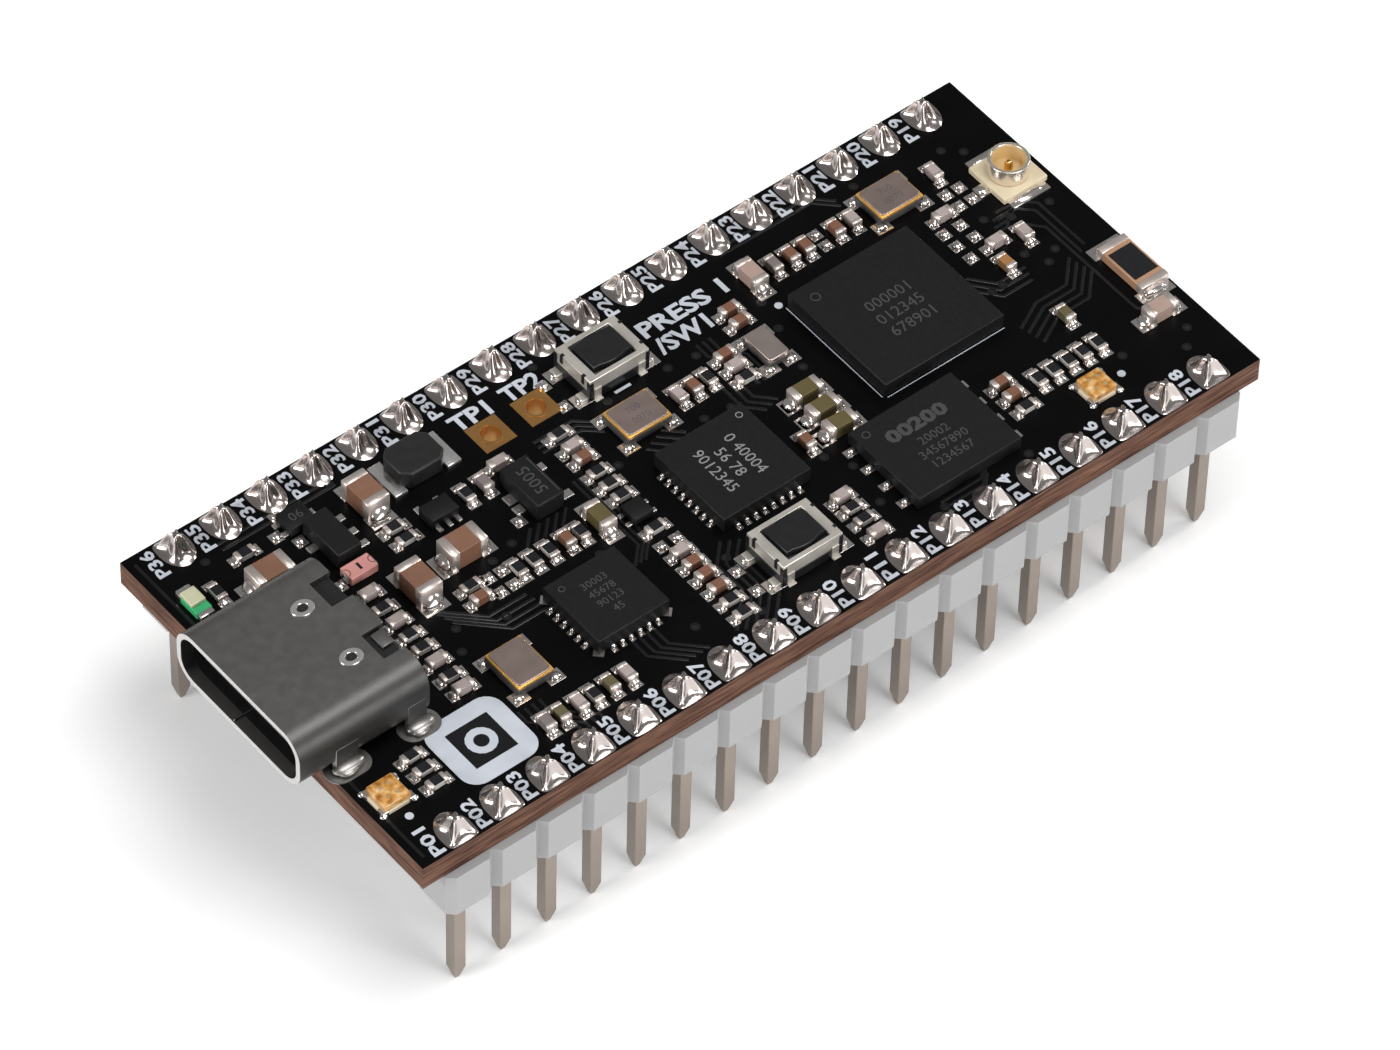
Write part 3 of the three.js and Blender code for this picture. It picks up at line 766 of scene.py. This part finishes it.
# ---- Regulator, diode pack and small chips ----
# Small outline packages in the same black epoxy, with tinned gull-wing leads. Each lead is set in its own
# drop of solder. Two of them carry figures.
for node in ("diode_package", "regulator_package"):
    broken_edges(node, epoxy_skin, 0.06)
small_leads, small_solder, small_bodies = (bmesh.new() for _ in range(3))
small_packages = [
    # x, y, length, width, height
    (-16.46, 8.06, 1.4, 1.2, 0.55),
    (-11.16, 4.48, 1.5, 1.1, 0.6),
    (-4.16, -0.91, 1.1, 1.1, 0.5),
]
part_seat = deck + 0.02
for x, y, length, width, height in small_packages:
    add_block(small_bodies, x, y, part_seat, length, width, height, bevel=0.06)
lead_spots = [
    # x, y, along x, along y
    (-16.81, 6.34, 0.55, 0.42), (-14.85, 7.0, 0.55, 0.38), (-14.85, 6.05, 0.55, 0.38),
    (-14.85, 5.2, 0.5, 0.36), (-8.15, 3.2, 0.5, 0.6), (-5.95, 3.88, 0.6, 0.45), (-5.95, 1.91, 0.6, 0.45),
    (-8.2, 2.5, 0.5, 0.5), (-11.66, 3.78, 0.24, 0.4), (-11.11, 3.78, 0.24, 0.4), (-10.61, 3.78, 0.24, 0.4),
    (-11.76, 5.2, 0.3, 0.45), (-10.7, 5.2, 0.3, 0.4), (-17.3, 8.4, 0.35, 0.3), (-17.3, 7.75, 0.35, 0.3),
    (-15.6, 8.1, 0.35, 0.35), (-4.86, -0.6, 0.3, 0.25), (-4.86, -1.2, 0.3, 0.25), (-3.46, -0.6, 0.3, 0.25),
    (-3.46, -1.2, 0.3, 0.25),
]
for x, y, length, width in lead_spots:
    add_block(small_leads, x, y, part_seat, length, width, 0.15, bevel=0.03, segments=1)
    add_block(small_solder, x, y, solder_seat, length * 1.25, width * 1.3, 0.22)
small_figures = bmesh.new()
_, high, middle, _ = measure("regulator_package")
add_laser_mark(small_figures, "5005", middle.x, middle.y, high.z, 0.62, turn=90, width=1.7)
add_block(small_figures, middle.x + 0.62, middle.y, high.z - 0.002, 0.05, 2.4, 0.006)
add_laser_mark(small_figures, "06", -16.46, 8.06, deck + 0.57, 0.5)
add_piece("small_packages", small_bodies, epoxy_skin)
add_piece("small_leads", small_leads, tin_skin)
add_solder_piece("small_lead_solder", small_solder, tin_skin)
add_piece("small_figures", small_figures, faint_mark)

# ---- Crystals ----
# A dark ceramic tub closed by a rounded metal lid, with a narrow gold seam where they are welded. The clock
# crystal has a taller drawn lid and no seam. The corners stand in solder.
lid_skin = skin("crystal_lid", (0.41, 0.32, 0.29), 0.40, metallic=0.85, mottle=0.08, relief_um=5)
can_skin = skin("crystal_can", (0.60, 0.50, 0.46), 0.34, metallic=0.9, mottle=0.08, relief_um=5)
seam_skin = skin("crystal_seam", (0.80, 0.44, 0.10), 0.32, metallic=0.45, mottle=0.1, relief_um=4)
tub_skin = skin("crystal_tub", (0.055, 0.050, 0.052), 0.55, mottle=0.15, grain_mm=0.1, relief_um=4)
tubs, seams, crystal_pads, crystal_solder, crystal_figures = (bmesh.new() for _ in range(5))
crystal_lids = {
    # lid's finish, gap round it, height, corner radius
    "radio_crystal": (lid_skin, 0.18, 0.14, 0.22),
    "interface_crystal": (lid_skin, 0.18, 0.14, 0.22),
    "hub_crystal": (lid_skin, 0.18, 0.14, 0.22),
    "clock_crystal": (can_skin, 0.05, 0.36, 0.15),
}
for node, (finish, gap, height, corner_radius) in crystal_lids.items():
    low, high, middle, span = measure(node)
    lid = bmesh.new()
    lid_block = add_block(lid, middle.x, middle.y, high.z - height, span.x - gap, span.y - gap, height)
    round_uprights(lid, lid_block, corner_radius, 5)
    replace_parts(add_piece(f"{node}_lid", lid, finish, rounding=0.035), node)
    if finish is lid_skin:
        add_block(seams, middle.x, middle.y, high.z - 0.24, span.x - 0.04, span.y - 0.04, 0.17, bevel=0.05)
    add_block(tubs, middle.x, middle.y, low.z, span.x, span.y, span.z - 0.24, bevel=0.05)
    for sx, sy in quarters:
        x, y = middle.x + sx * (span.x / 2 - 0.02), middle.y + sy * (span.y / 2 - 0.02)
        add_block(crystal_pads, x, y, pad_seat, 0.86, 0.72, 0.03, bevel=0.01, segments=1)
        add_block(crystal_solder, x + sx * 0.04, y + sy * 0.04, solder_seat, 0.66, 0.56, 0.24)
    if span.x > 2:
        for row, up in (("700", 0.32), ("0070", -0.32)):
            add_lettering(crystal_figures, row, middle.x, middle.y + up, high.z - 0.002, 0.36, weight=0.0,
                          thickness=0.005)
lid_mark = skin("lid_marks", (0.11, 0.09, 0.09), 0.5, mottle=0.1, relief_um=2)
add_piece("crystal_seams", seams, seam_skin)
add_piece("crystal_tubs", tubs, tub_skin)
add_piece("crystal_pads", crystal_pads, tin_skin)
add_piece("crystal_figures", crystal_figures, lid_mark)
add_solder_piece("crystal_solder", crystal_solder, tin_skin)

# ---- Power inductor ----
# An eight-sided pressed ferrite block, dull dark grey. Two wide tinned terminals fold under its ends and are
# soldered to the board.
ferrite_skin = skin("pressed_ferrite", (0.0095, 0.0095, 0.0098), 0.50, mottle=0.2, grain_mm=0.09,
                    relief_um=14)
broken_edges("power_inductor", ferrite_skin, 0.09)
terminals, terminal_solder = (bmesh.new() for _ in range(2))
inductor_y = 7.47
for x, width in ((-11.76, 0.72), (-8.76, 0.78)):
    add_block(terminals, x, inductor_y, pad_seat, width, 2.15, 0.2, bevel=0.05)
    add_block(terminal_solder, x, inductor_y, solder_seat, width + 0.25, 2.3, 0.24)
add_piece("inductor_terminals", terminals, bright_steel_and_painted_highlight)
add_solder_piece("inductor_solder", terminal_solder, tin_skin, 2)

# ---- Chip capacitors and resistors ----
# Fired ceramic bricks with tinned ends. Capacitors are as tall as they are wide, in browns and pinkish greys;
# resistors are thin, white on the sides, with a black glaze on top. Solder runs up every end.
part_sizes = {
    # length, width, height, end length
    "0402": (1.0, 0.52, 0.5, 0.26),
    "0603": (1.6, 0.82, 0.75, 0.36),
    "0805": (2.0, 1.25, 1.15, 0.45),
    "resistor": (1.0, 0.52, 0.33, 0.24),
}
H, V = 0, 90
part_runs = {
    # size, tint, and each part's x, y and turn
    "brown": ("0402", (0.20, 0.092, 0.055), [
        (-4.06, 3.07, H), (-4.06, -4.78, H), (-4.06, -5.64, H), (-4.06, -6.55, H), (-12.76, -0.6, H),
        (-7.66, -0.25, V), (2.49, 3.37, V), (6.69, 5.99, H), (6.64, 5.14, H), (11.04, 6.9, V),
        (11.94, 6.9, V), (13.74, 6.9, V), (4.44, -2.32, V), (13.59, -5.04, H), (13.59, -5.9, H),
        (4.79, 3.98, H)]),
    "light": ("0402", (0.42, 0.35, 0.335), [
        (-16.51, 2.62, H), (-16.51, 0.6, H), (-16.51, -2.27, H), (-16.51, -4.18, H), (-10.36, -8.0, V),
        (-13.06, -8.0, V), (-4.06, 3.88, H), (-4.06, -3.93, H), (1.64, 3.37, V), (4.79, 3.17, H),
        (14.69, 6.9, V), (3.59, -5.84, H), (3.59, -8.41, H), (19.54, 6.85, V), (18.14, 4.53, H),
        (19.04, 1.76, H), (20.44, 1.41, V), (-7.31, 5.14, H)]),
    "olive": ("0402", (0.12, 0.10, 0.048), [(-14.06, -8.0, V), (-11.31, -8.0, V), (18.64, -3.63, V)]),
    "grey": ("0402", (0.20, 0.17, 0.165), [(-14.86, -8.0, V), (-8.51, 4.63, V), (10.04, 6.9, V)]),
    "orange": ("0402", (0.36, 0.17, 0.06), [(18.54, 0.45, V)]),
    "olive_wide": ("0603", (0.115, 0.09, 0.035), [
        (6.19, -0.1, H), (6.19, -1.36, H), (6.19, -2.57, H), (-5.76, -0.25, V)]),
    "pink_wide": ("0603", (0.42, 0.30, 0.25), [(8.79, 6.95, V), (22.14, -6.14, H)]),
    "brown_large": ("0805", (0.23, 0.115, 0.072), [
        (-14.56, 1.56, V), (-13.31, 7.05, V), (-11.76, 2.01, H), (-19.46, 5.94, H)]),
    "resistor": ("resistor", (0.62, 0.60, 0.57), [
        (-20.66, -5.84, H), (-20.66, -6.75, H), (-20.66, -7.65, H), (-16.51, 1.61, H), (-16.51, -0.35, H),
        (-16.51, -1.26, H), (-16.51, -3.27, H), (-12.21, -8.0, V), (-21.71, 6.85, V), (-19.41, 7.9, H),
        (-13.26, 5.03, H), (-13.21, 4.18, H), (-9.51, 4.63, V), (-4.06, 4.88, H), (-4.06, 2.06, H),
        (-4.06, 1.16, H), (-4.06, 0.3, H), (-4.06, -2.11, H), (-4.06, -7.45, H), (-4.06, -8.36, H),
        (-12.66, 0.25, H), (-10.36, -0.25, V), (-9.51, -0.25, V), (-8.61, -0.25, V), (-6.86, -0.25, V),
        (3.39, 3.42, V), (4.79, 2.37, H), (3.59, -6.6, H), (3.59, -7.45, H), (13.64, -6.8, H),
        (15.14, -5.84, V), (16.04, -5.84, V), (16.94, -5.84, V), (17.79, -5.84, V), (18.69, -5.84, V)]),
}
end_caps, part_pads, part_solder, resistor_glaze = (bmesh.new() for _ in range(4))


def add_solder_foot(x, y, turn, reach, width, height):
    """A lump of solder that slopes away from the end of a part."""
    outward = Vector((math.cos(math.radians(turn)), math.sin(math.radians(turn))))
    for corner in add_block(part_solder, x, y, deck - 0.03, reach, width, height, turn):
        if corner.co.z > deck and (corner.co.xy - Vector((x, y))).dot(outward) > 0:
            corner.co.z -= height * 0.72
        corner.co.x += wobble.uniform(-0.025, 0.025)
        corner.co.y += wobble.uniform(-0.025, 0.025)


for run_name, (size_name, tint, spots) in part_runs.items():
    length, width, height, end = part_sizes[size_name]
    small = length < 1.3
    foot_length, pad_length = (0.44, 0.42) if small else (0.66, 0.85)
    bricks = bmesh.new()
    for x, y, turn in spots:
        turn += wobble.uniform(-2.0, 2.0)
        run = Vector((math.cos(math.radians(turn)), math.sin(math.radians(turn))))
        add_block(bricks, x, y, deck + 0.03, length - end, width - 0.03, height - 0.02, turn, bevel=0.02,
                  segments=1)
        if size_name == "resistor":
            add_block(resistor_glaze, x, y, deck + height, length - end * 1.9, width - 0.05, 0.03, turn)
        for s in (-1, 1):
            cap_x, cap_y = x + s * run.x * (length - end) / 2, y + s * run.y * (length - end) / 2
            add_block(end_caps, cap_x, cap_y, part_seat, end, width, height, turn, bevel=0.04, segments=1)
            tip_x, tip_y = x + s * run.x * (length / 2 + 0.1), y + s * run.y * (length / 2 + 0.1)
            facing = turn if s > 0 else turn + 180
            add_solder_foot(tip_x, tip_y, facing, foot_length, width + 0.12, height * 0.85)
            add_block(part_pads, tip_x, tip_y, pad_seat, pad_length, width + 0.1, 0.03, turn)
    fired = skin(f"fired_ceramic_{run_name}", tint, 0.38, mottle=0.12, grain_mm=0.12, relief_um=5)
    add_piece(f"ceramic_parts_{run_name}", bricks, fired)
cap_skin = skin("tinned_end", (0.76, 0.67, 0.62), 0.36, metallic=0.75, grain_mm=0.2, relief_um=14)
add_piece("part_end_caps", end_caps, cap_skin, sharp_degrees=50)
glaze_skin = skin("resistor_glaze", (0.012, 0.012, 0.014), 0.28, mottle=0.2, grain_mm=0.1, relief_um=4)
add_piece("resistor_glaze", resistor_glaze, glaze_skin)

# ---- Empty pads ----
# Footprints left without a part, and small test spots. Each is tinned copper with a low dome of solder that
# was left when the board was soldered.
empty_spots = [
    (-17.66, 7.9), (-16.96, 8.86), (-16.96, 7.05), (-17.16, 3.88), (-8.56, 2.0), (-4.5, -3.07), (-3.6, -3.07),
    (-11.7, 0.2), (-10.95, 0.2), (-11.75, -0.76), (-11.0, -0.76), (12.84, 6.5), (12.84, 7.3), (19.2, 5.54),
    (20.0, 5.54), (19.25, 4.63), (20.05, 4.63), (17.54, 3.68), (18.54, 3.68), (17.54, 2.77), (18.59, 2.72),
    (17.59, 1.81), (5.24, -0.1), (5.24, -1.36), (5.24, -2.57), (-2.75, 7.65), (-2.75, 6.14), (-2.75, -6.24),
    (-2.75, -7.65),
]
for x, y in empty_spots:
    add_block(part_pads, x, y, pad_seat, 0.60, 0.62, 0.03)
    add_block(part_solder, x, y, deck - 0.04, 0.60, 0.62, 0.30)
add_piece("part_pads", part_pads, tin_skin)
add_solder_piece("part_solder", part_solder, tin_skin)

# ---- Lamps and fuse ----
# Two three-colour lamps in clear amber resin on a cream base with silver corners, one green and cream lamp
# beside the USB socket, and a pink resettable fuse with a black bar.


def amber_finish():
    """Clear resin, clouded in ambers from dark to pale."""
    material = skin("amber_resin", (0.50, 0.235, 0.06), 0.16, mottle=0.45, grain_mm=0.28, relief_um=12,
                    coat=0.6)
    nodes, links = material.node_tree.nodes, material.node_tree.links
    clouds = nodes["Noise Texture"]
    clouds.inputs["Scale"].default_value = 2600.0
    ambers = add_node(nodes, "ValToRGB")
    dark, pale = ambers.color_ramp.elements
    dark.position, dark.color = 0.32, (0.32, 0.13, 0.025, 1)
    pale.position, pale.color = 0.70, (0.82, 0.60, 0.32, 1)
    ambers.color_ramp.elements.new(0.5).color = (0.64, 0.31, 0.07, 1)
    links.new(clouds.outputs["Fac"], ambers.inputs["Fac"])
    shader = nodes["Principled BSDF"]
    links.new(ambers.outputs["Color"], shader.inputs["Base Color"])
    shader.inputs["Subsurface Weight"].default_value = 0.3
    shader.inputs["Subsurface Radius"].default_value = (0.0004, 0.0002, 0.0001)
    return material


resin_skin = amber_finish()
base_skin = skin("lamp_base", (0.66, 0.58, 0.42), 0.4, mottle=0.1, relief_um=6)
resin, lamp_bases, lamp_corners, lamp_dice, lamp_solder = (bmesh.new() for _ in range(5))
for x, y, length, width in ((-22.76, -6.95, 1.7, 1.6), (16.89, -7.85, 1.6, 1.5)):
    add_block(lamp_bases, x, y, part_seat, length, width, 0.22, bevel=0.03, segments=1)
    add_block(resin, x, y, deck + 0.22, length - 0.3, width - 0.14, 0.34, bevel=0.06)
    for sx, sy in quarters:
        corner_x, corner_y = x + sx * (length / 2 - 0.12), y + sy * (width / 2 - 0.2)
        add_block(lamp_corners, corner_x, corner_y, part_seat, 0.36, 0.44, 0.28, bevel=0.03, segments=1)
        add_block(lamp_solder, corner_x + sx * 0.12, corner_y + sy * 0.18, solder_seat, 0.5, 0.42, 0.26)
        add_block(lamp_dice, x + sx * 0.24, y + sy * 0.3, deck + 0.54, 0.17, 0.17, 0.03)
add_piece("lamp_bases", lamp_bases, base_skin)
add_piece("lamp_resin", resin, resin_skin)
add_piece("lamp_corners", lamp_corners, tin_skin)
die_skin = skin("lamp_die", (0.80, 0.62, 0.32), 0.2, metallic=0.6, mottle=0.2, relief_um=4)
add_piece("lamp_dice", lamp_dice, die_skin)
add_solder_piece("lamp_solder", lamp_solder, tin_skin)
side_lamp_x = -22.86
side_lamp_case, side_lamp_lens, side_lamp_ends = (bmesh.new() for _ in range(3))
add_block(side_lamp_case, side_lamp_x, 6.85, part_seat, 0.84, 1.25, 0.36, bevel=0.03, segments=1)
add_block(side_lamp_lens, side_lamp_x, 7.1, deck + 0.34, 0.78, 0.95, 0.24, bevel=0.06, segments=3)
for s in (-1, 1):
    add_block(side_lamp_ends, side_lamp_x, 6.95 + s * 0.78, part_seat, 0.78, 0.44, 0.34, bevel=0.08)
green_skin = skin("lamp_green", (0.05, 0.42, 0.16), 0.3, mottle=0.2, relief_um=5)
add_piece("side_lamp_case", side_lamp_case, green_skin)
lens_skin = skin("pale_lens", (0.62, 0.62, 0.42), 0.18, mottle=0.15, relief_um=8, coat=0.5)
add_piece("side_lamp_lens", side_lamp_lens, lens_skin)
add_piece("side_lamp_ends", side_lamp_ends, tin_skin)
fuse_x, fuse_y, fuse_top = -16.01, 3.98, deck + 0.525
fuse, fuse_mark, fuse_ends = (bmesh.new() for _ in range(3))
add_block(fuse, fuse_x, fuse_y, deck + 0.03, 1.5, 0.86, 0.5, bevel=0.03, segments=1)
add_block(fuse_mark, fuse_x, fuse_y, fuse_top, 0.13, 0.42, 0.012)
for s in (-1, 1):
    add_block(fuse_ends, fuse_x + s * 0.72, fuse_y, part_seat, 0.2, 0.5, 0.45, bevel=0.03, segments=1)
    add_ring(fuse_mark, fuse_x + s * 0.75, fuse_y, fuse_top, 0.2, 0.235, 0.008, sides=16)
for s in (1, -1):
    # The rings print only on the fuse's top.
    bmesh.ops.bisect_plane(fuse_mark, geom=fuse_mark.verts[:] + fuse_mark.edges[:] + fuse_mark.faces[:],
                           plane_co=(fuse_x + s * 0.73, 0, 0), plane_no=(s, 0, 0), clear_outer=True)
fuse_skin = skin("fuse_pink", (0.66, 0.30, 0.27), 0.42, mottle=0.08, relief_um=5)
add_piece("fuse_body", fuse, fuse_skin)
add_piece("fuse_mark", fuse_mark, glaze_skin)
add_piece("fuse_ends", fuse_ends, tin_skin)

# ---- Antenna socket ----
# A snap-on coaxial socket: a square cream moulded base, a drawn ring that is silver outside and gold inside,
# and a gold centre pin. Three solder tabs hold it.
base_cream = skin("socket_base_cream", (0.70, 0.60, 0.42), 0.42, mottle=0.06, grain_mm=0.1, relief_um=5)
broken_edges("antenna_socket_base", base_cream, 0.05)
ring_skin = skin("socket_ring_silver", (0.80, 0.72, 0.62), 0.24, metallic=0.8, mottle=0.08, relief_um=4)
broken_edges("antenna_socket_ring", ring_skin, 0.03)
broken_edges("antenna_socket_pin", bright_gold, 0.03)
low, _, middle, span = measure("antenna_socket_ring")
sleeve = bmesh.new()
add_ring(sleeve, middle.x, middle.y, low.z, 0.79, 0.835, span.z - 0.04, sides=32)
add_ring(sleeve, middle.x, middle.y, low.z + 0.002, 0.2, 0.8, 0.03, sides=32)
sleeve_skin = skin("pale_gold_sleeve", (0.88, 0.70, 0.42), 0.30, metallic=0.55, mottle=0.08, relief_um=3)
add_piece("antenna_socket_sleeve", sleeve, sleeve_skin)
socket_tabs, socket_solder = (bmesh.new() for _ in range(2))
for x, y, length, width in ((middle.x, 6.2, 2.2, 0.6), (middle.x, 3.2, 2.2, 0.6), (20.72, 4.7, 0.7, 0.7)):
    add_block(socket_tabs, x, y, pad_seat, length, width, 0.12, bevel=0.03)
    add_block(socket_solder, x, y, deck - 0.03, length * 0.9, width * 0.95, 0.3)
add_piece("antenna_socket_tabs", socket_tabs, tin_skin)
add_solder_piece("antenna_socket_solder", socket_solder, tin_skin, 2)

# ---- Chip antenna ----
# A brown sintered ceramic bar with a black printed field in the middle of its top and silver fired ends,
# which are soldered to two wide pads.
bar_skin = skin("antenna_ceramic", (0.44, 0.25, 0.15), 0.36, mottle=0.12, grain_mm=0.1, relief_um=5)
broken_edges("chip_antenna", bar_skin, 0.04)
low, high, middle, span = measure("chip_antenna")
antenna_field, antenna_ends, antenna_pads, antenna_solder = (bmesh.new() for _ in range(4))
add_block(antenna_field, middle.x, middle.y, high.z - 0.005, span.x - 0.22, span.y * 0.60, 0.02, bevel=0.005,
          segments=1)
for s in (-1, 1):
    end_y, pad_y = middle.y + s * (span.y / 2 - 0.2), middle.y + s * (span.y / 2 + 0.12)
    add_block(antenna_ends, middle.x, end_y, low.z - 0.005, span.x + 0.04, 0.42, span.z + 0.025, bevel=0.05)
    add_block(antenna_pads, middle.x - 0.1, pad_y, pad_seat, 1.9, 0.75, 0.03)
    add_block(antenna_solder, middle.x - 0.1, pad_y, deck - 0.03, 1.5, 0.45, 0.38)
add_piece("antenna_field", antenna_field, glaze_skin)
add_piece("antenna_ends", antenna_ends, cap_skin)
add_piece("antenna_pads", antenna_pads, tin_skin)
add_solder_piece("antenna_solder", antenna_solder, tin_skin, 2)

# ---- Finish ----
low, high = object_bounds()
